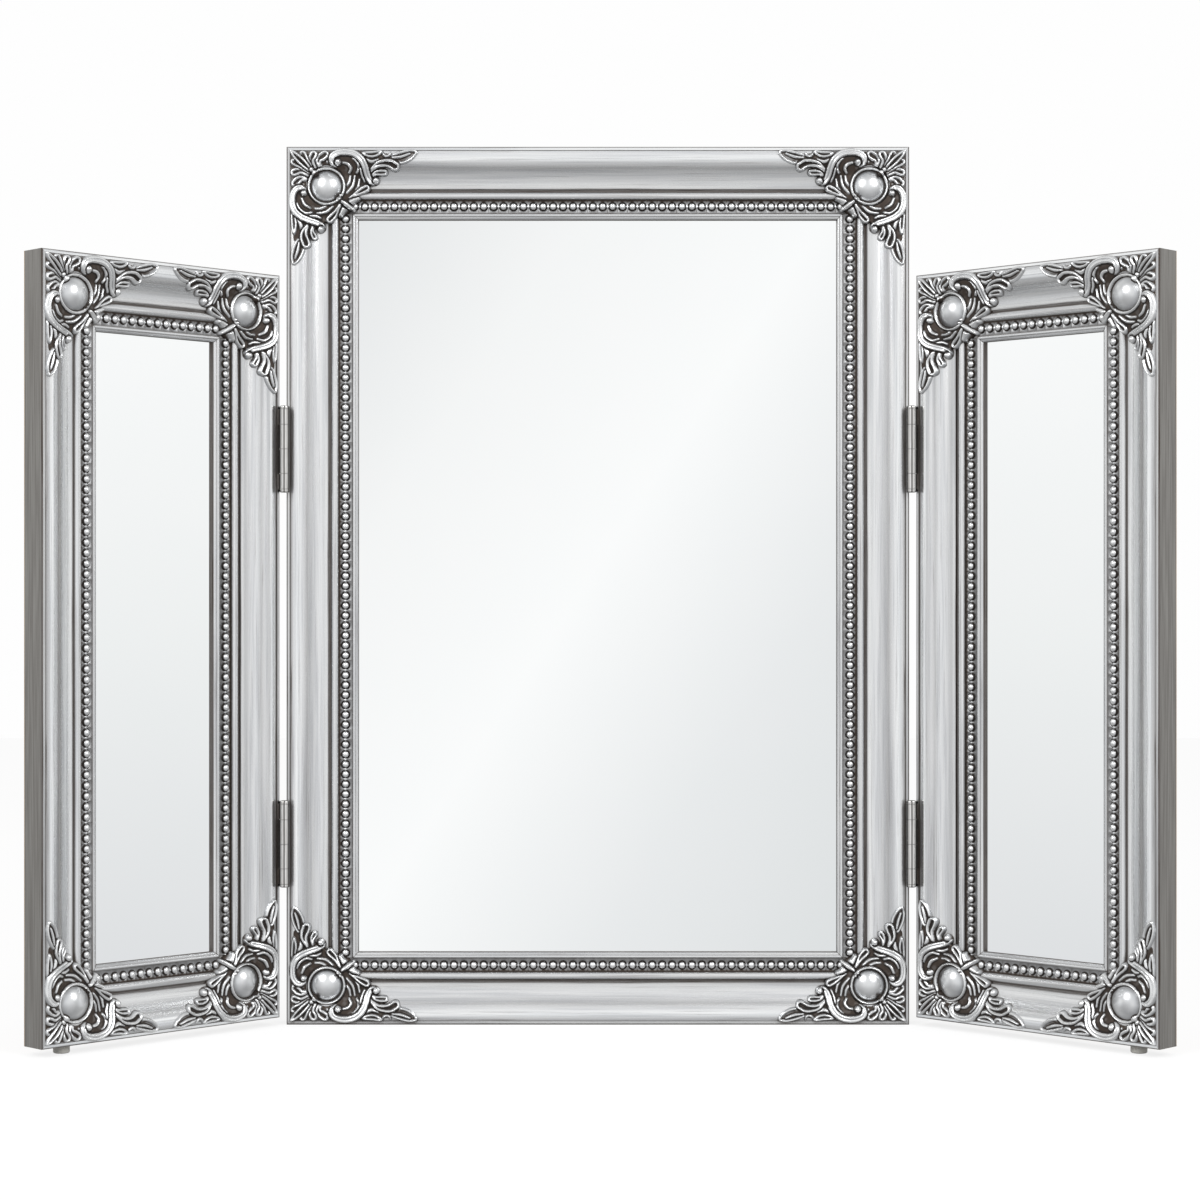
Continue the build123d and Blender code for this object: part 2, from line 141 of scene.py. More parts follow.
def add_node(tree, kind, inputs=(), stops=(), **settings):
    """Add a shader node, set its properties and ramp, and fill or link its inputs.

    A node given as an input is linked by its first output.
    """
    made = tree.nodes.new("ShaderNode" + kind)
    for name, value in settings.items():
        setattr(made, name, value)
    for i, (place, colour) in enumerate(stops):
        ramp = made.color_ramp.elements
        stop = ramp[i] if i < 2 else ramp.new(place)
        stop.position = place
        stop.color = linear(colour)
    for key, value in inputs.items() if isinstance(inputs, dict) else enumerate(inputs):
        if isinstance(value, bpy.types.Node):
            value = value.outputs[0]
        if isinstance(value, bpy.types.NodeSocket):
            tree.links.new(value, made.inputs[key])
        else:
            made.inputs[key].default_value = value
    return made


def new_material(name):
    """An empty node material and its node tree."""
    material = bpy.data.materials.new(name)
    material.use_nodes = True
    material.node_tree.nodes.clear()
    return material, material.node_tree


def finish_material(tree, inputs):
    """Give a material one surface shader with the given inputs."""
    shader = add_node(tree, "BsdfPrincipled", inputs)
    add_node(tree, "OutputMaterial", {"Surface": shader})


# Panels: where each one lies before it is swung, read back from the frame's own rails


class Panel:
    """One framed mirror: its body, how it is swung, and its sides in its own flat plane."""

    def __init__(self, body, swing, hinge, rails):
        self.body = body
        self.hinge = hinge
        self.swing = swing
        turn = Matrix.Rotation(swing, 4, "Z")
        self.to_world = Matrix.Translation(hinge) @ turn @ Matrix.Translation(-hinge)
        low, high = self.flat_box(rails)
        self.left, self.front, self.bottom = low
        self.width = high.x - low.x
        self.height = high.z - low.z

    def flat_box(self, nodes):
        """Lowest and highest corner of CAD nodes in the panel's own flat plane."""
        back = self.to_world.inverted()
        points = [back @ v.co for n in nodes for v in frame["nodes"][n].data.vertices]
        columns = list(zip(*points))
        return Vector([min(c) for c in columns]), Vector([max(c) for c in columns])

    def place(self, across, up, forward):
        """World points from places across, up and before the front plane, in millimetres."""
        flat = np.stack(
            (
                self.left + np.asarray(across) * MM,
                self.front - np.asarray(forward) * MM,
                self.bottom + np.asarray(up) * MM,
            ),
            axis=-1,
        )
        turn = np.array(self.to_world)
        return flat @ turn[:3, :3].T + turn[:3, 3]


def hinge_of(name):
    """The place of a wing's hinge axis and how far the wing stands forward at rest."""
    joint = next(j for j in frame["joints"] if j["name"] == name)
    return Vector(joint["pos_m"]), math.radians(-joint["range_deg"][0])


left_hinge, left_swing = hinge_of("left_wing_hinge")
right_hinge, right_swing = hinge_of("right_wing_hinge")
RAIL_NAMES = {
    "centre": ("top_rail", "bottom_rail", "left_stile", "right_stile"),
    "left_wing": ("top_rail", "bottom_rail", "outer_stile", "hinge_stile"),
    "right_wing": ("top_rail", "bottom_rail", "hinge_stile", "outer_stile"),
}
SWINGS = {
    "centre": ("centre_panel", 0.0, Vector((0, 0, 0))),
    "left_wing": ("left_wing", left_swing, left_hinge),
    "right_wing": ("right_wing", -right_swing, right_hinge),
}
panels = {
    name: Panel(body, swing, hinge, [f"{name}_{rail}" for rail in RAIL_NAMES[name]])
    for name, (body, swing, hinge) in SWINGS.items()
}


# Materials

SILVER = "#fafbfb"
SILVER_SHADE = "#e9ebed"
SILVER_SATIN = "#d6d8da"
SILVER_DULL = "#a9aaab"
WAX = "#4a4039"
WAX_DEEP = "#26201c"
TONED_WALL = "#979591"
TONED_WALL_DARK = "#807d79"
BARE_WOOD = "#c9a877"
BARE_WOOD_DARK = "#b48f5f"
GLASS = "#fcfdfd"
GLASS_COOL = "#fafcfc"
DARK_GRIME_SHADE_AND_REFLECTION = "#2f2c2a"
NICKEL = "#f4f3f1"
NICKEL_WORN = "#dddbd7"
ZINC = "#b9bbbd"
ZINC_WORN = "#8f9092"
HARDBOARD = "#8a6a49"
HARDBOARD_DARK = "#6f5237"
HARDBOARD_STAIN = "#7c5e40"
NYLON = "#eeece6"
NYLON_SHADE = "#e4e1d9"


def silver_leaf_moulding(name, panel, upright):
    """Silver leaf on carved wood, burnished along the run and rubbed with dark wax.

    It gives a cool bright sheen with long fine streaks, and umber in all its recesses, from wax
    and from painted shade; the stiles and the level rails get different painted shade.
    """
    material, tree = new_material(name)

    # Places in mm, from the panel's middle, in its own flat plane
    here = add_node(tree, "TexCoord").outputs["Object"]
    flat = add_node(
        tree,
        "VectorRotate",
        {"Vector": here, "Center": panel.hinge, "Angle": -panel.swing},
        rotation_type="Z_AXIS",
    )
    half_width = panel.width / 2
    half_height = panel.height / 2
    middle = (panel.left + half_width, panel.front, panel.bottom + half_height)
    centred = add_node(tree, "VectorMath", (flat, middle), operation="SUBTRACT")
    scaled = add_node(tree, "VectorMath", {0: centred, "Scale": 1 / MM}, operation="SCALE")
    x, y, z = add_node(tree, "SeparateXYZ", (scaled,)).outputs
    off_x = add_node(tree, "Math", (x,), operation="ABSOLUTE")
    off_z = add_node(tree, "Math", (z,), operation="ABSOLUTE")
    inset_x = add_node(tree, "Math", (half_width / MM, off_x), operation="SUBTRACT")
    inset_z = add_node(tree, "Math", (half_height / MM, off_z), operation="SUBTRACT")
    along, inset = (z, inset_x) if upright else (x, inset_z)

    grains = []
    for width, length, detail in STREAKS:
        parts = [
            add_node(tree, "Math", pair, operation="DIVIDE")
            for pair in ((along, length), (inset, width), (y, width))
        ]
        spot = add_node(tree, "CombineXYZ", parts)
        settings = {"Vector": spot, "Scale": 1.0, "Detail": detail, "Roughness": 0.6}
        grains.append(add_node(tree, "TexNoise", settings))
    fine, cloudy = grains

    # Wax stays in the quirk and the bead channel, and painted shade lies in the other dips of the
    # profile.
    # The stiles have a painted shade line by the rim, and the level rails painted shade on the
    # hollow.
    places = dict(WAX_AND_SHADE_ACROSS)
    places.update(SHADE_BY_THE_STILE_RIM if upright else SHADE_ON_THE_LEVEL_RAILS)
    profile = [(place / WAX_REACH, amount) for place, amount in sorted(places.items())]
    share = add_node(tree, "Math", (inset, WAX_REACH), operation="DIVIDE")
    # This ramp gives wax and painted shade by place across the profile
    rubbed = add_node(tree, "ValToRGB", (share,), profile)
    # Ambient occlusion adds wax in the recesses and painted shade beside the ornaments and hinge
    # barrels
    open_share = {"Distance": RECESS_REACH * MM}
    air = add_node(tree, "AmbientOcclusion", open_share, samples=8).outputs["AO"]
    recess_wax_and_shade = add_node(tree, "MapRange", (air, 0.86, 0.3), interpolation_type="SMOOTHSTEP")
    wax = add_node(tree, "Math", (rubbed, recess_wax_and_shade), operation="MAXIMUM")

    # The mitre between two rails shows as a dark hair line
    apart = add_node(tree, "Math", (inset_x, inset_z), operation="SUBTRACT")
    apart = add_node(tree, "Math", (apart,), operation="ABSOLUTE")
    mitre = add_node(tree, "MapRange", (apart, 0.45, 0.15, 0.0, 0.8))
    at_lip = add_node(tree, "MapRange", (inset, 41.0, 42.0))
    mitre = add_node(tree, "Math", (mitre, at_lip), operation="MULTIPLY")
    wax = add_node(tree, "Math", (wax, mitre), operation="MAXIMUM")

    # Streaks of thin wax on the open faces
    soft = {"interpolation_type": "SMOOTHSTEP"}
    thin = add_node(tree, "MapRange", (fine, 0.52, 0.76, 0.0, 0.42), **soft)
    veil = add_node(tree, "MapRange", (cloudy, 0.5, 0.75, 0.0, 0.16), **soft)
    wax = add_node(tree, "Math", (wax, thin), operation="ADD")
    wax = add_node(tree, "Math", (wax, veil), operation="ADD", use_clamp=True)

    shade = add_node(tree, "MapRange", (cloudy, 0.35, 0.65), interpolation_type="SMOOTHSTEP")
    leaf = add_node(tree, "MixRGB", (shade, linear(SILVER), linear(SILVER_SHADE)))
    leaf = add_node(tree, "MixRGB", (wax, leaf, linear(WAX)))

    # The outer side wall has only a thin toned coat, and the back is bare wood
    beyond = add_node(tree, "MapRange", (y, 0.9, 1.6), interpolation_type="SMOOTHSTEP")
    at_edge = add_node(tree, "MapRange", (inset, 0.4, 0.1), interpolation_type="SMOOTHSTEP")
    wall = add_node(tree, "Math", (beyond, at_edge), operation="MULTIPLY")
    lines = add_node(tree, "MapRange", (fine, 0.35, 0.65), interpolation_type="SMOOTHSTEP")
    toned = add_node(tree, "MixRGB", (lines, linear(TONED_WALL), linear(TONED_WALL_DARK)))
    colour = add_node(tree, "MixRGB", (wall, leaf, toned))
    back = add_node(tree, "MapRange", (y, PANEL_THICKNESS - 0.6, PANEL_THICKNESS - 0.2))
    wood = add_node(tree, "MixRGB", (lines, linear(BARE_WOOD), linear(BARE_WOOD_DARK)))
    colour = add_node(tree, "MixRGB", (back, colour, wood))

    bare = add_node(tree, "Math", (1.0, back), operation="SUBTRACT")
    sheen = add_node(tree, "MapRange", (wax, 0.0, 1.0, 1.0, 0.45))
    metallic = add_node(tree, "Math", (bare, sheen), operation="MULTIPLY")
    burnish = add_node(tree, "MapRange", (fine, 0.3, 0.7, 0.13, 0.25))
    dulled = add_node(tree, "MapRange", (wax, 0.0, 1.0, 0.0, 0.35))
    rough = add_node(tree, "Math", (burnish, dulled), operation="ADD")
    bump = add_node(tree, "Bump", {"Height": fine, "Strength": 0.2, "Distance": 0.12 * MM})
    finish_material(
        tree, {"Base Color": colour, "Metallic": metallic, "Roughness": rough, "Normal": bump}
    )
    return material


def silvered_casting(name, mottle):
    """Cast composition with silver leaf, its relief rubbed bright over dark wax.

    The wax attribute says how deep each point lies among its neighbours, and it also holds painted
    shade towards the edge of the cabochon's dome and along the outer side of the bead rows. Mottle
    says how much the patches of worn leaf shift it.
    """
    material, tree = new_material(name)
    depth = add_node(tree, "Attribute", attribute_name="wax").outputs["Fac"]
    here = add_node(tree, "TexCoord").outputs["Object"]

    # Patches of worn leaf about 4 mm across
    specks = add_node(tree, "TexNoise", {"Vector": here, "Scale": 1 / (4 * MM), "Detail": 1.0})
    shift = add_node(tree, "MapRange", (specks, 0.3, 0.7, -mottle, mottle))
    depth = add_node(tree, "Math", (depth, shift), operation="ADD", use_clamp=True)
    tones = ((0.0, SILVER), (0.3, SILVER_SATIN), (0.52, SILVER_DULL), (0.75, WAX), (1.0, WAX_DEEP))
    colour = add_node(tree, "ValToRGB", (depth,), tones)
    metallic = add_node(tree, "MapRange", (depth, 0.3, 1.0, 1.0, 0.35))
    rough = add_node(tree, "MapRange", (depth, 0.0, 1.0, 0.27, 0.6))
    bump = add_node(tree, "Bump", {"Height": specks, "Strength": 0.03, "Distance": 0.1 * MM})
    finish_material(
        tree, {"Base Color": colour, "Metallic": metallic, "Roughness": rough, "Normal": bump}
    )
    return material


def mirror_glass():
    """Silvered float glass: a clear, faintly cool reflection with a trace of haze."""
    material, tree = new_material("silvered_float_glass")
    here = add_node(tree, "TexCoord").outputs["Object"]
    haze = add_node(tree, "TexNoise", {"Vector": here, "Scale": 1 / (60 * MM), "Detail": 1.0})
    rough = add_node(tree, "MapRange", (haze, 0.0, 1.0, 0.0, 0.02))
    colour = add_node(tree, "MixRGB", (haze, linear(GLASS), linear(GLASS_COOL)))
    finish_material(tree, {"Base Color": colour, "Metallic": 1.0, "Roughness": rough})
    return material


def worn_metal(name, colour, shade, rough, streak):
    """Plated or drawn steel with fine wear lines along Z, streak millimetres wide.

    It is bright on open faces, and dark soil with painted shade fills the joints between parts. A
    hinge barrel carries a painted reflection, dark on both flanks and in a thin line down its
    middle.
    """
    material, tree = new_material(name)
    here = add_node(tree, "TexCoord").outputs["Object"]
    lines = add_node(
        tree, "Mapping", {"Vector": here, "Scale": (1 / streak, 1 / streak, 0.04 / streak)}
    )
    wear = add_node(tree, "TexNoise", {"Vector": lines, "Scale": 1 / MM, "Detail": 3.0})
    worn = add_node(tree, "MapRange", (wear, 0.35, 0.7), interpolation_type="SMOOTHSTEP")
    tint = add_node(tree, "MixRGB", (worn, linear(colour), linear(shade)))
    open_share = {"Distance": JOINT_REACH * MM}
    # Ambient occlusion darkens the joints with grime and painted shade
    air = add_node(tree, "AmbientOcclusion", open_share, samples=8).outputs["AO"]
    joint_grime_and_shade = add_node(tree, "MapRange", (air, 0.5, 0.15), interpolation_type="SMOOTHSTEP")

    # How far each point lies from the hinge axis of its side, across the barrel
    x = add_node(tree, "SeparateXYZ", (here,)).outputs["X"]
    off_x = add_node(tree, "Math", (x,), operation="ABSOLUTE")
    offset = add_node(tree, "Math", (off_x, HINGE_AXIS * MM), operation="SUBTRACT")
    offset = add_node(tree, "Math", (offset,), operation="ABSOLUTE")
    share = add_node(tree, "Math", (offset, BARREL_REFLECTION_REACH * MM), operation="DIVIDE")
    # Painted reflection: dark flanks and a dark middle line along the hinge barrel
    painted_reflection = add_node(tree, "ValToRGB", (share,), BARREL_PAINTED_REFLECTION)
    grime_and_painted_reflection = add_node(tree, "Math", (joint_grime_and_shade, painted_reflection), operation="MAXIMUM")
    tint = add_node(tree, "MixRGB", (grime_and_painted_reflection, tint, linear(DARK_GRIME_SHADE_AND_REFLECTION)))
    spread = add_node(tree, "MapRange", (wear, 0.0, 1.0, rough * 0.75, rough * 1.3))
    bump = add_node(tree, "Bump", {"Height": wear, "Strength": 0.05, "Distance": 0.04 * MM})
    finish_material(
        tree, {"Base Color": tint, "Metallic": 1.0, "Roughness": spread, "Normal": bump}
    )
    return material


def pressed_hardboard():
    """Brown hardboard: a matt face of matted wood fibres about a millimetre across."""
    material, tree = new_material("pressed_hardboard")
    here = add_node(tree, "TexCoord").outputs["Object"]
    matted = {"Vector": here, "Scale": 1 / (1.2 * MM), "Detail": 5.0, "Distortion": 1.5}
    fibres = add_node(tree, "TexNoise", matted)
    stain = add_node(tree, "TexNoise", {"Vector": here, "Scale": 1 / (45 * MM), "Detail": 2.0})
    share = add_node(tree, "MapRange", (fibres, 0.3, 0.7), interpolation_type="SMOOTHSTEP")
    colour = add_node(tree, "MixRGB", (share, linear(HARDBOARD), linear(HARDBOARD_DARK)))
    share = add_node(
        tree, "MapRange", (stain, 0.4, 0.8, 0.0, 0.6), interpolation_type="SMOOTHSTEP"
    )
    colour = add_node(tree, "MixRGB", (share, colour, linear(HARDBOARD_STAIN)))
    bump = add_node(tree, "Bump", {"Height": fibres, "Strength": 0.3, "Distance": 0.1 * MM})
    finish_material(tree, {"Base Color": colour, "Roughness": 0.75, "Normal": bump})
    return material


def moulded_nylon():
    """Off-white moulded nylon with a waxy satin surface and faint moulding texture."""
    material, tree = new_material("moulded_nylon")
    here = add_node(tree, "TexCoord").outputs["Object"]
    texture = add_node(tree, "TexNoise", {"Vector": here, "Scale": 1 / (0.6 * MM), "Detail": 2.0})
    colour = add_node(tree, "MixRGB", (texture, linear(NYLON), linear(NYLON_SHADE)))
    bump = add_node(tree, "Bump", {"Height": texture, "Strength": 0.1, "Distance": 0.05 * MM})
    finish_material(tree, {"Base Color": colour, "Roughness": 0.42, "Normal": bump})
    return material


def dress(node_name, material):
    """Give a CAD node its finish."""
    for used in frame["nodes"][node_name].material_slots:
        used.material = material


casting = silvered_casting("silvered_composition_casting", mottle=0.05)
bead_leaf = silvered_casting("silvered_bead_strip", mottle=0.04)
glass = mirror_glass()
nickel = worn_metal("nickel_plated_steel", NICKEL, NICKEL_WORN, rough=0.12, streak=0.4)
bright_steel = worn_metal("zinc_plated_steel", ZINC, ZINC_WORN, rough=0.32, streak=0.6)
hardboard = pressed_hardboard()
nylon = moulded_nylon()

for name, panel in panels.items():
    # Stiles and level rails get separate finishes, which also carry different painted shade
    upright_leaf = silver_leaf_moulding(f"{name}_silver_leaf_stile", panel, True)
    level_leaf = silver_leaf_moulding(f"{name}_silver_leaf_rail", panel, False)
    for rail in RAIL_NAMES[name]:
        dress(f"{name}_{rail}", upright_leaf if rail.endswith("stile") else level_leaf)
    dress(f"{name}_mirror_glass", glass)
    dress(f"{name}_backing_board", hardboard)
    dress(f"{name}_steel_points", bright_steel)
    dress(f"{name}_hinge_screws", nickel)
for side in ("left", "right"):
    for level in ("lower", "upper"):
        dress(f"centre_{level}_{side}_hinge_leaf", nickel)
        dress(f"{side}_wing_{level}_hinge_leaf", nickel)
    dress(f"{side}_hinge_pins", nickel)
    dress(f"{side}_wing_glide", nylon)


# Meshes


def make_piece(name, points, faces, wax, material):
    """A smooth mesh object with its wax attribute."""
    mesh = bpy.data.meshes.new(name)
    mesh.from_pydata([tuple(p) for p in points], [], [tuple(f) for f in faces])
    mesh.polygons.foreach_set("use_smooth", [True] * len(mesh.polygons))
    # The wax attribute can hold painted shade as well as wax
    attribute = mesh.attributes.new("wax", "FLOAT", "POINT")
    attribute.data.foreach_set("value", np.asarray(wax, np.float32))
    mesh.materials.append(material)
    mesh.update()
    piece = bpy.data.objects.new(name, mesh)
    bpy.context.scene.collection.objects.link(piece)
    return piece


def settle(piece, panel, node_name):
    """Tie a finished piece to its panel and the CAD node that it stands for."""
    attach(piece, panel.body)
    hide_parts(node_name)


# Bead rows: balls in cups, on a strip that fills the channel. Rings of the ball are polar
# angle and wax, those of the cup radius, height and wax, and the strip's edge height and wax.

BALL_RINGS = ((0, 0.0), (14, 0.0), (28, 0.0), (42, 0.05), (54, 0.3), (66, 0.9), (84, 1.0))
CUP_RINGS = ((2.65, 0.0, 1.0), (2.85, 0.1, 0.9), (3.05, 0.35, 0.5))
STRIP_EDGE = (0.45, 0.64)
LINK_WIDTH = 0.6
LINK_HEIGHT = 1.1
BEAD_SIDES = 6

# Past every edge of a cell, and the share of the way to an edge that round rings may reach
BEYOND_THE_CELL = 99.0
ROUND_SHARE = 0.97

# Painted shade with dark wax along the outer side of the strip, beside the higher torus: where it
# starts, how it fades in, its amount
SHADE_START = 2.0
SHADE_FADE = 1.2
SHADE_WAX = 0.88


def bead_cell():
    """Points of one bead in its cell, along and across the strip, their wax, and the faces."""
    half_along = BEAD_PITCH / 2
    half_across = (CHANNEL[1] - CHANNEL[0]) / 2
    corner = math.atan2(half_across, half_along)
    turns = [
        turn + start + (end - start) * i / BEAD_SIDES
        for turn in (0.0, math.pi)
        for start, end in ((-corner, corner), (corner, math.pi - corner))
        for i in range(BEAD_SIDES)
    ]
    count = len(turns)
    c, s = np.cos(turns), np.sin(turns)
    to_edge = np.minimum(
        half_along / np.maximum(np.abs(c), 1e-9), half_across / np.maximum(np.abs(s), 1e-9)
    )
    rings = []
    for polar, wax in BALL_RINGS:
        reach = BEAD_RADIUS * math.sin(math.radians(polar))
        rise = CHANNEL_DEPTH - BEAD_DEPTH + BEAD_RADIUS * math.cos(math.radians(polar))
        rings.append((np.full(count, reach), np.full(count, rise), np.full(count, wax)))
    for reach, rise, wax in CUP_RINGS + ((BEYOND_THE_CELL,) + STRIP_EDGE,):
        reach = np.minimum(reach, to_edge * (1.0 if reach > half_across else ROUND_SHARE))
        link = np.exp(-((s * reach / LINK_WIDTH) ** 2)) * (np.abs(c) > 0.5)
        rings.append((reach, rise + (LINK_HEIGHT - rise) * link, wax * (1 - link)))
    points = np.concatenate([np.stack((c * r, s * r, up), axis=-1) for r, up, _ in rings])
    wax = np.concatenate([w for _, _, w in rings])
    faces = [
        (r * count + i, r * count + j, (r + 1) * count + j, (r + 1) * count + i)
        for r in range(len(rings) - 1)
        for i, j in zip(range(count), list(range(1, count)) + [0])
    ]
    return points, wax, np.array(faces)


def bead_strip(panel, node_name, where):
    """The bead row of one side of a panel, in place of its CAD node.

    It runs one bead further than the CAD row at both ends, under the corner ornaments.
    """
    low, high = panel.flat_box([node_name])
    upright = where in ("left", "right")
    start, end = (low.z, high.z) if upright else (low.x, high.x)
    count = round(((end - start) / MM - 2 * BEAD_RADIUS) / BEAD_PITCH) + 3
    middle = ((start + end) / 2 - (panel.bottom if upright else panel.left)) / MM
    row = (CHANNEL[0] + CHANNEL[1]) / 2
    far = (panel.width if where == "right" else panel.height) / MM - row
    across_row = far if where in ("right", "top") else row
    cell, cell_wax, cell_faces = bead_cell()
    shifts = [(i - (count - 1) / 2) * BEAD_PITCH for i in range(count)]
    along = np.concatenate([cell[:, 0] + shift for shift in shifts])
    aside = np.tile(cell[:, 1], count)
    rise = np.tile(cell[:, 2], count) - CHANNEL_DEPTH
    if upright:
        points = panel.place(across_row - aside, middle + along, rise)
    else:
        points = panel.place(middle + along, across_row + aside, rise)
    faces = np.concatenate([cell_faces + i * len(cell) for i in range(count)])
    # Painted shade with wax along the outer side of the strip, beside the torus
    inward = aside * (1 if where in ("right", "bottom") else -1)
    shade = np.clip((-inward - SHADE_START) / SHADE_FADE, 0, 1) * SHADE_WAX
    wax = np.maximum(np.tile(cell_wax, count), shade)
    piece = make_piece(node_name.replace("beads", "bead_strip"), points, faces, wax, bead_leaf)
    settle(piece, panel, node_name)
    return piece


# Corner ornament, drawn from the panel's outer corner: x along the rail, y along the stile.
# Each form is a kind, a width, a height and the points of its middle line, base first.

GROUND = (
    (2.6, 2.6), (30, 2.8), (58, 2.6), (67, 4.6), (70, 9), (62, 13.5), (56.5, 19), (50, 24.5),
    (45.5, 30), (42.5, 38), (37, 42.5), (28, 45.5), (21, 50), (16.5, 53.5), (12.5, 60), (8, 64),
    (4.4, 60), (2.6, 42), (2.8, 25),
)  # fmt: skip

FORMS = (
    # Corner fan: three leaves on each side and the pointed one over them
    ("petal", 5.8, 1.9, ((21.6, 13.4), (20.6, 8.6), (24.6, 5.2))),
    ("petal", 5.2, 1.9, ((18.4, 13.6), (16.0, 8.8), (17.4, 5.0))),
    ("petal", 4.2, 1.9, ((16.6, 14.2), (12.8, 8.8), (10.4, 4.5))),
    ("petal", 5.4, 1.9, ((13.6, 21.0), (9.0, 20.6), (5.4, 23.6))),
    ("petal", 5.0, 1.9, ((13.8, 18.2), (9.0, 15.6), (4.8, 16.6))),
    ("petal", 4.0, 1.9, ((14.2, 16.4), (8.8, 12.4), (4.4, 9.8))),
    ("leaf", 4.8, 2.3, ((15.6, 15.4), (9.2, 9.0), (2.9, 2.8))),
    ("ball", 2.0, 1.4, ((26.6, 9.6), (26.6, 9.6))),
    ("ball", 1.8, 1.4, ((10.4, 24.6), (10.4, 24.6))),
    # Inner acanthus below and beside the cabochon
    ("ridge", 1.5, 1.5, ((37.6, 25.4), (40.0, 22.4), (40.8, 18.4))),
    ("ridge", 1.6, 1.6, ((38.4, 29.4), (42.2, 24.6), (43.6, 18.4))),
    ("ridge", 1.8, 1.7, ((40.0, 32.0), (45.0, 26.8), (46.6, 20.4))),
    ("ridge", 1.5, 1.5, ((25.6, 37.2), (22.0, 39.2), (18.2, 39.4))),
    ("ridge", 1.6, 1.6, ((29.4, 38.0), (25.0, 41.4), (19.4, 42.2))),
    ("petal", 4.8, 2.2, ((40.6, 32.6), (46.0, 28.8), (51.0, 26.0))),
    ("petal", 4.8, 2.2, ((34.4, 36.6), (31.2, 42.2), (27.4, 46.2))),
    # Drops inside the scrolls
    ("ridge", 2.0, 1.9, ((35.6, 10.0), (39.4, 11.0), (41.2, 13.6), (40.0, 16.4))),
    ("ridge", 2.2, 2.0, ((42.4, 6.8), (45.4, 9.6), (46.6, 13.2), (45.0, 16.2))),
    ("ridge", 2.0, 2.0, ((47.4, 13.6), (48.2, 17.4), (49.8, 21.6))),
    ("ridge", 2.0, 1.9, ((9.8, 33.2), (11.6, 37.0), (15.0, 39.0))),
    ("ridge", 2.1, 2.0, ((6.6, 36.6), (8.8, 40.6), (12.4, 42.6), (16.0, 41.8))),
    ("ridge", 2.0, 2.0, ((14.6, 44.4), (18.4, 44.0), (21.4, 45.2))),
    # Leaves of the long arm along the rail
    ("leaf", 8.6, 2.2, ((66.4, 8.2), (74.8, 6.8), (82.6, 3.8))),
    ("ridge", 1.8, 2.0, ((68.0, 7.2), (73.8, 6.4), (79.2, 4.4))),
    ("ridge", 1.6, 2.0, ((61.6, 3.0), (62.8, 5.6), (65.6, 5.8), (67.0, 3.6))),
    ("leaf", 4.2, 2.0, ((49.0, 4.4), (55.4, 4.9), (61.0, 3.2))),
    ("ridge", 2.4, 2.0, ((50.8, 8.0), (54.6, 9.6), (58.8, 8.6))),
    ("petal", 6.0, 2.5, ((53.6, 15.4), (59.0, 11.2), (65.6, 10.6), (69.8, 12.6))),
    ("petal", 3.8, 2.0, ((54.0, 18.8), (57.4, 16.6), (63.0, 16.2))),
    # Leaves of the arm down the stile
    ("leaf", 8.4, 2.2, ((9.6, 59.4), (7.4, 67.0), (4.9, 74.6))),
    ("ridge", 1.8, 2.0, ((8.2, 61.6), (7.2, 66.6), (5.6, 71.6))),
    ("leaf", 4.0, 2.0, ((4.0, 42.0), (4.8, 48.6), (4.8, 55.6))),
    ("ridge", 2.8, 2.1, ((7.6, 46.8), (9.2, 50.2), (9.8, 54.0))),
    ("petal", 5.8, 2.5, ((13.2, 50.4), (11.0, 56.4), (12.6, 62.4))),
    ("petal", 3.8, 2.0, ((16.6, 50.6), (16.4, 54.6), (17.8, 57.8))),
    # Scrolls, each a broad band with a line along both edges, and their curled ends
    ("scroll", 4.6, 2.7, (
        (31.4, 11.6), (29.0, 9.2), (29.8, 5.8), (33.8, 3.8), (39.2, 3.5), (44.4, 5.0),
        (48.4, 8.6), (50.6, 13.2), (51.8, 18.0), (53.8, 21.8), (56.6, 22.6),
    )),
    ("ball", 4.4, 3.1, ((33.0, 10.0), (33.0, 10.0))),
    ("ball", 4.4, 3.1, ((57.2, 21.2), (57.2, 21.2))),
    ("scroll", 4.4, 2.7, (
        (11.8, 28.2), (9.4, 26.4), (6.2, 27.4), (4.0, 31.2), (3.7, 36.8), (5.4, 41.6),
        (9.6, 45.2), (14.8, 47.2), (19.6, 48.6), (22.6, 50.4), (23.2, 52.2),
    )),
    ("ball", 4.0, 3.0, ((10.9, 29.8), (10.9, 29.8))),
    ("ball", 4.4, 3.1, ((21.7, 52.4), (21.7, 52.4))),
    # The knot at the glass
    ("ridge", 4.0, 3.4, ((45.8, 32.8), (42.6, 34.2), (39.2, 36.8), (36.4, 40.0), (34.4, 43.4))),
    ("ridge", 3.6, 3.4, ((35.6, 34.8), (38.6, 37.0), (42.8, 39.8))),
)  # fmt: skip

# Turned beads that stand over the cabochon's ring: place, radius and top
RING_BUDS = (
    (15.9, 14.5, 1.5, 0.6), (18.1, 16.8, 2.1, 1.0),
    (32.4, 32.6, 1.1, -0.2), (34.2, 31.0, 1.1, -0.2),
)  # fmt: skip
BUD_GAP = 0.45
BUD_DROP = 2.2

# Relief over the bed: the groove round each form, the ground between them, the steepness of
# every wall, and how deep the cast edge is sunk in the moulding
OUTLINE_GAP = 0.65
GROUND_HEIGHT = 0.2
WALL_SLOPE = 4.5
SUNK = -4.5

# The relief slopes away at the panel's outer edge, so it stays as low as the CAD ornament
EDGE_RISE = -0.76

# Leaves have a rounded rim round a hollow, and scrolls a groove down their middle
RIM_WIDTH = 2.1
RIM_SHARE = 0.4
HOLLOW_FLOOR = 0.16
GROOVE_DEPTH = 0.34
GROOVE_SHARE = 0.3

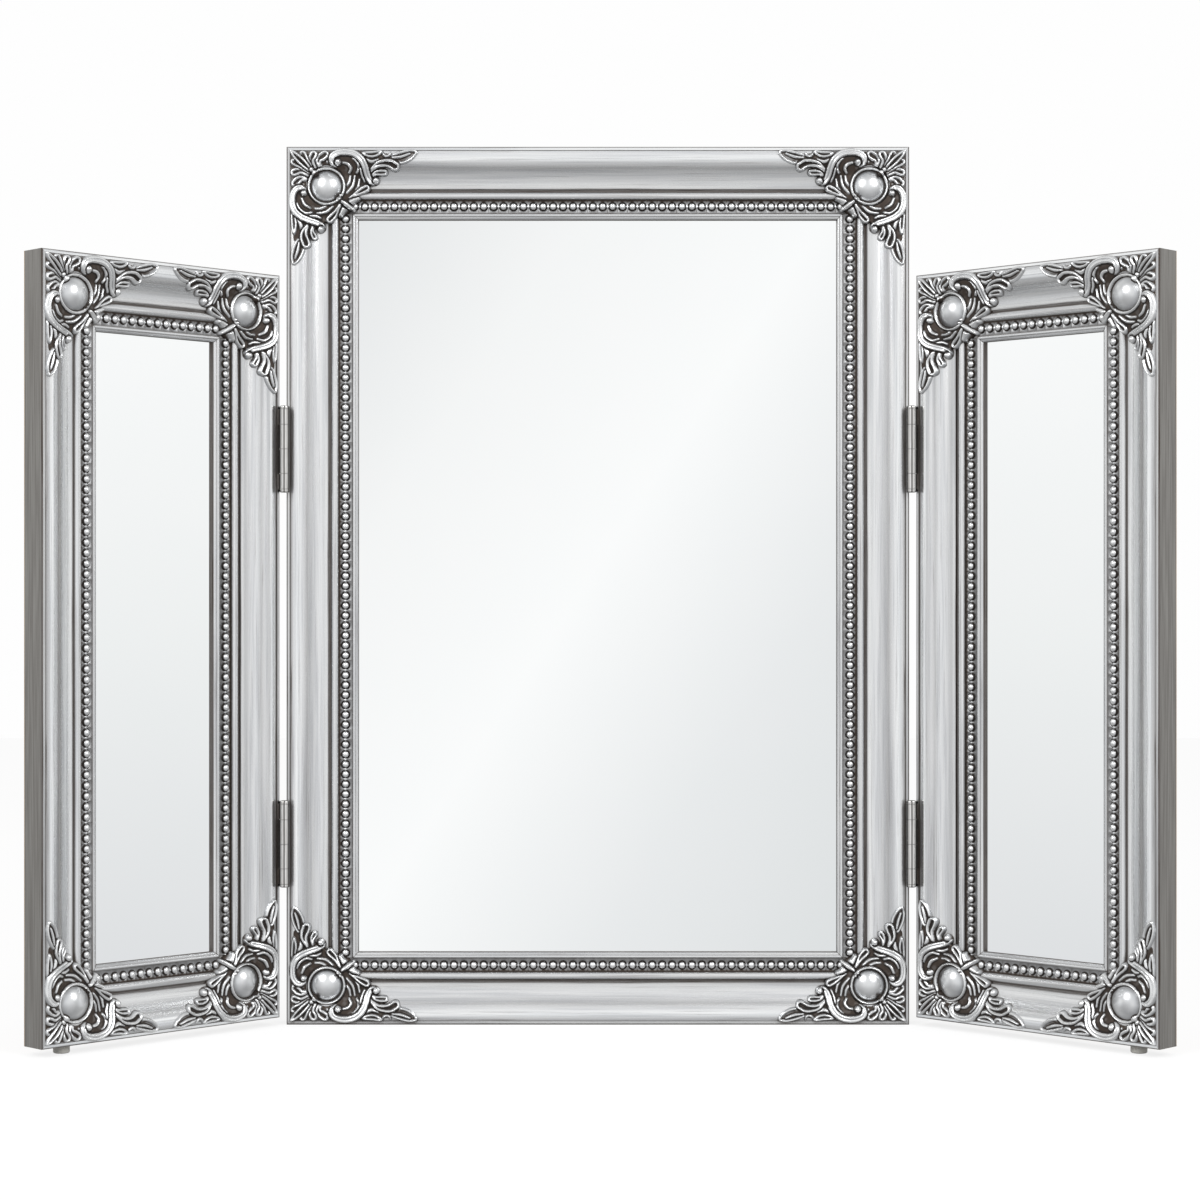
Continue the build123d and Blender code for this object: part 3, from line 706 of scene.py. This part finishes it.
# How far the bed and the finished relief are softened
BED_SOFTNESS = 1.6
RELIEF_SOFTNESS = 0.3

# Wax by how low a point lies against its neighbours near by and farther off (reach, depth),
# and its amount on high places, in the ground and in the cabochon's seat
WAX_NEAR = (0.8, 0.38)
WAX_WIDE = (2.2, 1.8)
WAX_HIGH = 0.12
WAX_GROUND = 0.76
WAX_GROUND_DEPTH = 0.9
WAX_SEAT = 0.9

# The dome's mesh, its wax tone in the middle, the painted shade added towards the edge, and where
# that shade begins
DOME_RINGS = 18
DOME_SIDES = 64
DOME_WAX_AND_EDGE_SHADE = (0.14, 0.42, 0.55)


def smooth_line(points, steps=9):
    """A line through the given points, rounded between them, as an array of x and y."""
    p = np.array(points, float)
    if len(p) < 3:
        return p
    p = np.vstack((2 * p[0] - p[1], p, 2 * p[-1] - p[-2]))
    line = []
    for i in range(1, len(p) - 2):
        for t in np.linspace(0, 1, steps, endpoint=False):
            line.append(
                0.5
                * (
                    2 * p[i]
                    + (p[i + 1] - p[i - 1]) * t
                    + (2 * p[i - 1] - 5 * p[i] + 4 * p[i + 1] - p[i + 2]) * t**2
                    + (3 * p[i] - p[i - 1] - 3 * p[i + 1] + p[i + 2]) * t**3
                )
            )
    line.append(p[-2])
    return np.array(line)


def nearest_on_line(line, x, y):
    """Distance from each point to a line, and how far along the line it is, 0 to 1."""
    best = np.full(x.shape, 1e9)
    along = np.zeros(x.shape)
    spans = max(len(line) - 1, 1)
    for i in range(spans):
        a = line[i]
        step = line[min(i + 1, len(line) - 1)] - a
        size = step @ step
        t = np.clip(((x - a[0]) * step[0] + (y - a[1]) * step[1]) / max(size, 1e-9), 0, 1)
        gap = np.hypot(x - a[0] - t * step[0], y - a[1] - t * step[1])
        nearer = gap < best
        best = np.where(nearer, gap, best)
        along = np.where(nearer, (i + t) / spans, along)
    return best, along


def rounded(share):
    """Height of a half round at a share of its half width, 0 in the middle to 1 at its edge."""
    return np.sqrt(np.clip(1 - share**2, 0, 1))


def form_relief(kind, width, height, line, x, y):
    """Relief of one form and how far each point is outside it, in millimetres."""
    gap, along = nearest_on_line(line, x, y)

    # A petal widens to its tip, and the others are widest in their middle
    half = np.full(x.shape, width / 2)
    if kind == "petal":
        half *= 0.36 + 0.64 * np.clip(along * 1.3, 0, 1) ** 0.9
    elif kind == "leaf":
        half *= 0.42 + 0.58 * np.clip(4 * along * (1 - along), 0, 1) ** 0.7
    elif kind == "ridge":
        half *= 0.5 + 0.5 * np.sin(np.pi * np.clip(along, 0.08, 0.92)) ** 0.8
    elif kind == "scroll":
        half *= 0.6 + 0.4 * np.sin(np.pi * np.clip(along, 0, 1)) ** 0.5
    outside = gap - half
    share = np.clip(gap / half, 0, 1)
    if kind in ("petal", "leaf"):
        rim = min(RIM_WIDTH, RIM_SHARE * width)
        inside = np.clip(-outside / rim, 0, 2)
        fall = 0.5 + 0.5 * np.cos(np.pi * np.clip(inside * 2 - 1, 0, 1))
        hollow = HOLLOW_FLOOR + (1 - HOLLOW_FLOOR) * fall
        body = np.where(inside < 0.5, rounded(1 - 2 * inside), hollow)
    elif kind == "scroll":
        groove = GROOVE_DEPTH * np.exp(-((share / GROOVE_SHARE) ** 2))
        body = rounded(share**1.7) - groove
    else:
        body = rounded(share)
    return np.where(outside < 0, height * body, -WALL_SLOPE * outside), outside


def blurred(field, sigma):
    """A field smoothed by a Gaussian of that many cells."""
    reach = int(3 * sigma) + 1
    kernel = np.exp(-0.5 * (np.arange(-reach, reach + 1) / sigma) ** 2)
    kernel /= kernel.sum()
    for axis in (0, 1):
        padded = np.pad(field, [(reach, reach) if a == axis else (0, 0) for a in (0, 1)], "edge")
        field = np.apply_along_axis(lambda row: np.convolve(row, kernel, "valid"), axis, padded)
    return field


def inside_outline(outline, x, y):
    """Whether each point lies inside a closed outline."""
    inside = np.zeros(x.shape, bool)
    for (ax, ay), (bx, by) in zip(outline, outline[1:] + outline[:1]):
        if ay != by:
            crosses = (ay > y) != (by > y)
            inside ^= crosses & (x < (bx - ax) * (y - ay) / (by - ay) + ax)
    return inside


def ornament_field():
    """Height before the front plane and wax of the ornament, over its grid."""
    xs = np.arange(ORNAMENT_START, ORNAMENT_SPAN[0], ORNAMENT_STEP)
    ys = np.arange(ORNAMENT_START, ORNAMENT_SPAN[1], ORNAMENT_STEP)
    x, y = np.meshgrid(xs, ys, indexing="ij")
    outline = smooth_line(GROUND + GROUND[:1], 4)
    gap, _ = nearest_on_line(outline, x, y)
    inside = inside_outline(GROUND, x, y)
    relief = np.where(inside, GROUND_HEIGHT, GROUND_HEIGHT - WALL_SLOPE * gap)
    for kind, width, height, points in FORMS:
        form, outside = form_relief(kind, width, height, smooth_line(points), x, y)
        beside = (outside > 0) & (outside < OUTLINE_GAP)
        relief = np.where(beside, np.minimum(relief, GROUND_HEIGHT), relief)
        relief = np.where(outside < 0, np.maximum(form, 0.3 * relief), np.maximum(form, relief))
    relief = np.clip(relief, SUNK, None)

    # The bed follows the moulding, and rises to a hill under the cabochon
    radius = np.hypot(x - CABOCHON_PLACE[0], y - CABOCHON_PLACE[1])
    bed = np.interp(np.minimum(x, y), BED_PLACES, BED_HEIGHTS)
    slope = np.clip((radius - HILL_REACH[0]) / (HILL_REACH[1] - HILL_REACH[0]), 0, 1)
    hill = HILL_HEIGHT - HILL_FALL * slope**1.5
    bed = blurred(np.maximum(bed, hill), BED_SOFTNESS / ORNAMENT_STEP)
    height = bed + relief

    # The ring and the seat of the cabochon are turned flat
    ring = np.abs(radius - RING_RADIUS) / (RING_WIDTH / 2)
    ring_height = CABOCHON_SEAT + (RING_TOP - CABOCHON_SEAT) * rounded(np.clip(ring, 0, 1))
    ring_edge = RING_RADIUS + RING_WIDTH / 2
    height = np.where(radius < RING_RADIUS, CABOCHON_SEAT, height)
    height = np.where(ring < 1, ring_height, height)
    beside_ring = (ring >= 1) & (radius > RING_RADIUS) & (radius < ring_edge + OUTLINE_GAP)
    height = np.where(beside_ring, np.minimum(height, CABOCHON_SEAT + 0.3), height)
    raised = np.zeros(x.shape, bool)
    for bud_x, bud_y, bud_radius, top in RING_BUDS:
        far = np.hypot(x - bud_x, y - bud_y)
        raised |= far < bud_radius
        bud = top - bud_radius + bud_radius * rounded(np.clip(far / bud_radius, 0, 1))
        height = np.where(far < bud_radius, np.maximum(bud, CABOCHON_SEAT), height)
        around = (far >= bud_radius) & (far < bud_radius + BUD_GAP)
        height = np.where(around, np.minimum(height, top - BUD_DROP), height)
    height = np.minimum(blurred(height, RELIEF_SOFTNESS / ORNAMENT_STEP), x + EDGE_RISE)

    # Wax fills the ground and the hollows, and is rubbed off every ridge
    near = blurred(height, WAX_NEAR[0] / ORNAMENT_STEP) - height
    wide = blurred(height, WAX_WIDE[0] / ORNAMENT_STEP) - height
    low = np.clip(1 - (relief - GROUND_HEIGHT) / WAX_GROUND_DEPTH, 0, 1)
    low = np.where((radius < ring_edge) | raised, 0, low)
    wax = np.clip(WAX_HIGH + near / WAX_NEAR[1] + wide / WAX_WIDE[1], 0, 1)
    wax = np.maximum(wax, blurred(WAX_GROUND * low, RELIEF_SOFTNESS / ORNAMENT_STEP))
    wax = np.where(radius < RING_RADIUS - RING_WIDTH / 2, WAX_SEAT, wax)
    return x, y, height, wax, relief > SUNK + 0.1


def ornament_shape():
    """Points (x, y, height), wax and faces of an upper left ornament."""
    x, y, height, wax, kept = ornament_field()
    cells = kept[:-1, :-1] | kept[1:, :-1] | kept[:-1, 1:] | kept[1:, 1:]
    number = np.arange(x.size).reshape(x.shape)
    corners = (number[:-1, :-1], number[1:, :-1], number[1:, 1:], number[:-1, 1:])
    faces = np.stack([c[cells] for c in corners], axis=-1)
    used, faces = np.unique(faces, return_inverse=True)
    faces = faces.reshape(-1, 4)
    points = np.stack([f.ravel()[used] for f in (x, y, height)], axis=-1)
    wax = wax.ravel()[used]

    # The cabochon is a turned dome set in its ring
    rise = CABOCHON_TOP - CABOCHON_SEAT
    ball = (CABOCHON_RADIUS**2 + rise**2) / (2 * rise)
    edge = math.asin(CABOCHON_RADIUS / ball)
    polar, turn = np.meshgrid(
        edge * np.arange(DOME_RINGS + 1) / DOME_RINGS,
        2 * math.pi * np.arange(DOME_SIDES) / DOME_SIDES,
        indexing="ij",
    )
    dome = np.stack(
        (
            CABOCHON_PLACE[0] + ball * np.sin(polar) * np.cos(turn),
            CABOCHON_PLACE[1] + ball * np.sin(polar) * np.sin(turn),
            CABOCHON_TOP - ball * (1 - np.cos(polar)),
        ),
        axis=-1,
    )
    # The dome is greyed by wax all over and darkened towards its edge by painted shade
    middle_wax, edge_shade, edge_shade_start = DOME_WAX_AND_EDGE_SHADE
    toward_edge = np.clip((polar / edge - edge_shade_start) / (1 - edge_shade_start), 0, 1)
    dome_wax_and_shade = middle_wax + edge_shade * toward_edge**1.5
    starts = [len(points) + r * DOME_SIDES for r in range(DOME_RINGS + 1)]
    dome_faces = [
        (inner + i, outer + i, outer + j, inner + j)
        for inner, outer in zip(starts, starts[1:])
        for i, j in zip(range(DOME_SIDES), list(range(1, DOME_SIDES)) + [0])
    ]
    return (
        np.vstack((points, dome.reshape(-1, 3))),
        np.concatenate((wax, dome_wax_and_shade.ravel())),
        np.vstack((faces, dome_faces)),
    )


shape_points, shape_wax, shape_faces = ornament_shape()


def corner_ornament(panel, node_name, on_right, on_top):
    """The ornament of one corner of a panel, in place of its CAD node."""
    x, y, height = shape_points.T
    across = panel.width / MM - x if on_right else x
    up = panel.height / MM - y if on_top else y
    faces = shape_faces if on_right != on_top else shape_faces[:, ::-1]
    name = node_name.replace("ornament", "scrollwork")
    piece = make_piece(name, panel.place(across, up, height), faces, shape_wax, casting)
    settle(piece, panel, node_name)
    return piece


SIDES = {
    "centre": {"top": "top", "bottom": "bottom", "left": "left", "right": "right"},
    "left_wing": {"top": "top", "bottom": "bottom", "left": "outer", "right": "hinge"},
    "right_wing": {"top": "top", "bottom": "bottom", "left": "hinge", "right": "outer"},
}
CORNERS = {
    "centre": ("left", "right"),
    "left_wing": ("outer", "inner"),
    "right_wing": ("inner", "outer"),
}
made_pieces = []
for name, panel in panels.items():
    for where, word in SIDES[name].items():
        made_pieces.append(bead_strip(panel, f"{name}_{word}_beads", where))
    for on_right, word in enumerate(CORNERS[name]):
        for on_top, level in enumerate(("bottom", "top")):
            node_name = f"{name}_{level}_{word}_ornament"
            made_pieces.append(corner_ornament(panel, node_name, bool(on_right), bool(on_top)))

# The glasses show the plain studio: of each wing they show only the parts at its hinge
for shown in list(frame["nodes"].values()) + made_pieces:
    if "_wing_" in shown.name and "hinge" not in shown.name:
        shown.visible_glossy = False


# Studio

TABLE_HALF = 4.0
TABLE_GREY = "#838383"
TABLE_GLOW = 0.8
WHITE = "#ffffff"


def studio_floor():
    """A white table top that shows the soft shadow of the frames."""
    mesh = bpy.data.meshes.new("white_table_top")
    turns = ((-1, -1), (1, -1), (1, 1), (-1, 1))
    corners = [(x * TABLE_HALF, y * TABLE_HALF, 0) for x, y in turns]
    mesh.from_pydata(corners, [], [(0, 1, 2, 3)])
    material, tree = new_material("white_matt_laminate")
    path = add_node(tree, "LightPath").outputs
    seen = add_node(
        tree, "Math", (path["Is Camera Ray"], path["Is Transmission Ray"]), operation="MAXIMUM"
    )
    glow = add_node(tree, "Math", (seen, TABLE_GLOW), operation="MULTIPLY")
    lit = add_node(tree, "BsdfDiffuse", {"Color": linear(TABLE_GREY)})
    own = add_node(tree, "Emission", {"Color": linear(WHITE), "Strength": glow})
    both = add_node(tree, "AddShader", (lit, own))
    add_node(tree, "OutputMaterial", {"Surface": both})
    mesh.materials.append(material)
    floor = bpy.data.objects.new("white_table_top", mesh)
    bpy.context.scene.collection.objects.link(floor)
    floor.visible_glossy = False


# Tones of the studio as mirrors and silver see it, by direction
BEFORE_THE_GLASS = (
    (0.0, "#dfe0e1"), (0.17, "#e7e8e9"), (0.33, "#f8f8f8"), (0.5, "#fefefe"), (0.67, "#ecedee"),
    (0.83, "#e1e3e4"), (1.0, "#dadcdd"),
)  # fmt: skip
BESIDE_THE_WINGS = ((0.0, "#e0e1e3"), (0.5, "#f1f2f2"), (1.0, "#fdfdfd"))
ROUND_THE_ROOM = (
    (0.0, "#6a6866"), (0.04, "#8e8d8b"), (0.12, "#c2c2c1"), (0.24, "#e4e4e4"), (0.42, "#d6d6d6"),
    (0.65, "#c0c0c1"), (0.8, "#d2d2d3"), (0.9, "#e4e4e5"), (1.0, "#f4f4f5"),
)  # fmt: skip
UP_THE_ROOM = ((0.0, 0.66), (0.2, 0.7), (0.35, 0.76), (0.46, 0.98), (0.5, 1.0), (1.0, 1.0))
BACKDROP_WHITE = "#fefefe"
ROOM_LIGHT = "#dcdcdc"

# Where the tones before the glass and beside the wings fade in, by share of the direction,
# how fast the first change across and upwards, and the heights between which the second do
FRONT_FADE = (0.945, 0.98)
WING_FADE = (0.9, 0.975)
GLASS_ACROSS = 10.9
GLASS_UP = 7.1
GLASS_SLANT = 3.0
WING_LIFT = (-0.14, 0.12)

SOFT_BOX_PLACE = (0.95, -1.15, 1.25)
SOFT_BOX_SIZE = (0.55, 0.8)
SOFT_BOX_POWER = 9.0


def studio_world():
    """White studio: plain for sight, evenly bright for matt things, softly graded in mirrors."""
    world = bpy.data.worlds.new("white_studio")
    bpy.context.scene.world = world
    world.use_nodes = True
    tree = world.node_tree
    tree.nodes.clear()
    way = add_node(tree, "TexCoord").outputs["Generated"]
    x, y, z = add_node(tree, "SeparateXYZ", (way,)).outputs
    ahead = add_node(tree, "Math", (y, -1.0), operation="MULTIPLY")
    wide = add_node(tree, "Math", (x,), operation="ABSOLUTE")

    # The centre glass is brightest on a diagonal from the upper right to the lower left
    over = add_node(tree, "Math", (x, ahead), operation="DIVIDE")
    over = add_node(tree, "Math", (over, GLASS_ACROSS), operation="MULTIPLY")
    under = add_node(tree, "Math", (z, ahead), operation="DIVIDE")
    under = add_node(tree, "Math", (under, GLASS_UP), operation="MULTIPLY")
    slant = add_node(tree, "Math", (over, under), operation="SUBTRACT")
    place = add_node(tree, "MapRange", (slant, -GLASS_SLANT, GLASS_SLANT))
    front_tone = add_node(tree, "ValToRGB", (place,), BEFORE_THE_GLASS)

    # The wings are paler above and greyer below
    lift = add_node(tree, "MapRange", (z, *WING_LIFT))
    side_tone = add_node(tree, "ValToRGB", (lift,), BESIDE_THE_WINGS)

    # Everywhere else the room falls off behind the object and towards the floor
    turned = add_node(tree, "MapRange", (ahead, -1.0, 1.0))
    raised = add_node(tree, "MapRange", (z, -1.0, 1.0))
    room = add_node(tree, "ValToRGB", (turned,), ROUND_THE_ROOM)
    fall = add_node(tree, "ValToRGB", (raised,), UP_THE_ROOM)
    room = add_node(tree, "MixRGB", (1.0, room, fall), blend_type="MULTIPLY")
    soft = {"interpolation_type": "SMOOTHSTEP"}
    in_front = add_node(tree, "MapRange", (ahead, *FRONT_FADE), **soft)
    beside = add_node(tree, "MapRange", (wide, *WING_FADE), **soft)
    tone = add_node(tree, "MixRGB", (in_front, room, front_tone))
    tone = add_node(tree, "MixRGB", (beside, tone, side_tone))

    path = add_node(tree, "LightPath").outputs
    mirrored = add_node(
        tree, "Math", (path["Is Glossy Ray"], path["Is Transmission Ray"]), operation="MAXIMUM"
    )
    colour = add_node(tree, "MixRGB", (mirrored, linear(ROOM_LIGHT), tone))
    colour = add_node(tree, "MixRGB", (path["Is Camera Ray"], colour, linear(BACKDROP_WHITE)))
    light = add_node(tree, "Background", {"Color": colour, "Strength": 1.0})
    add_node(tree, "OutputWorld", {"Surface": light})


def soft_box(name, side):
    """A soft lamp on one side (-1 left, 1 right) that faces the middle of the object."""
    lamp = bpy.data.lights.new(name, "AREA")
    lamp.shape = "RECTANGLE"
    lamp.size, lamp.size_y = SOFT_BOX_SIZE
    lamp.energy = SOFT_BOX_POWER
    holder = bpy.data.objects.new(name, lamp)
    bpy.context.scene.collection.objects.link(holder)
    across, depth, height = SOFT_BOX_PLACE
    holder.location = (side * across, depth, height)
    aim = Vector((0, 0, (cad_low.z + cad_high.z) / 2)) - holder.location
    holder.rotation_euler = aim.to_track_quat("-Z", "Y").to_euler()


def photo_camera():
    """A level camera before the centre panel, at the photograph's distance and framing."""
    data = bpy.data.cameras.new("photo_camera")
    data.sensor_width = SENSOR_WIDTH
    data.lens = FOCAL_PIXELS / IMAGE_SIZE * SENSOR_WIDTH
    data.shift_x = (IMAGE_SIZE / 2 - OPTICAL_CENTRE[0]) / IMAGE_SIZE
    data.shift_y = (OPTICAL_CENTRE[1] - IMAGE_SIZE / 2) / IMAGE_SIZE
    camera = bpy.data.objects.new("photo_camera", data)
    bpy.context.scene.collection.objects.link(camera)
    front = panels["centre"].front
    camera.location = (CAMERA_SIDE * MM, front - CAMERA_DISTANCE * MM, CAMERA_HEIGHT * MM)
    camera.rotation_euler = (math.pi / 2, 0, 0)
    bpy.context.scene.camera = camera


studio_floor()
studio_world()
soft_box("left_soft_box", -1)
soft_box("right_soft_box", 1)
photo_camera()
bpy.context.scene.view_settings.view_transform = "Standard"
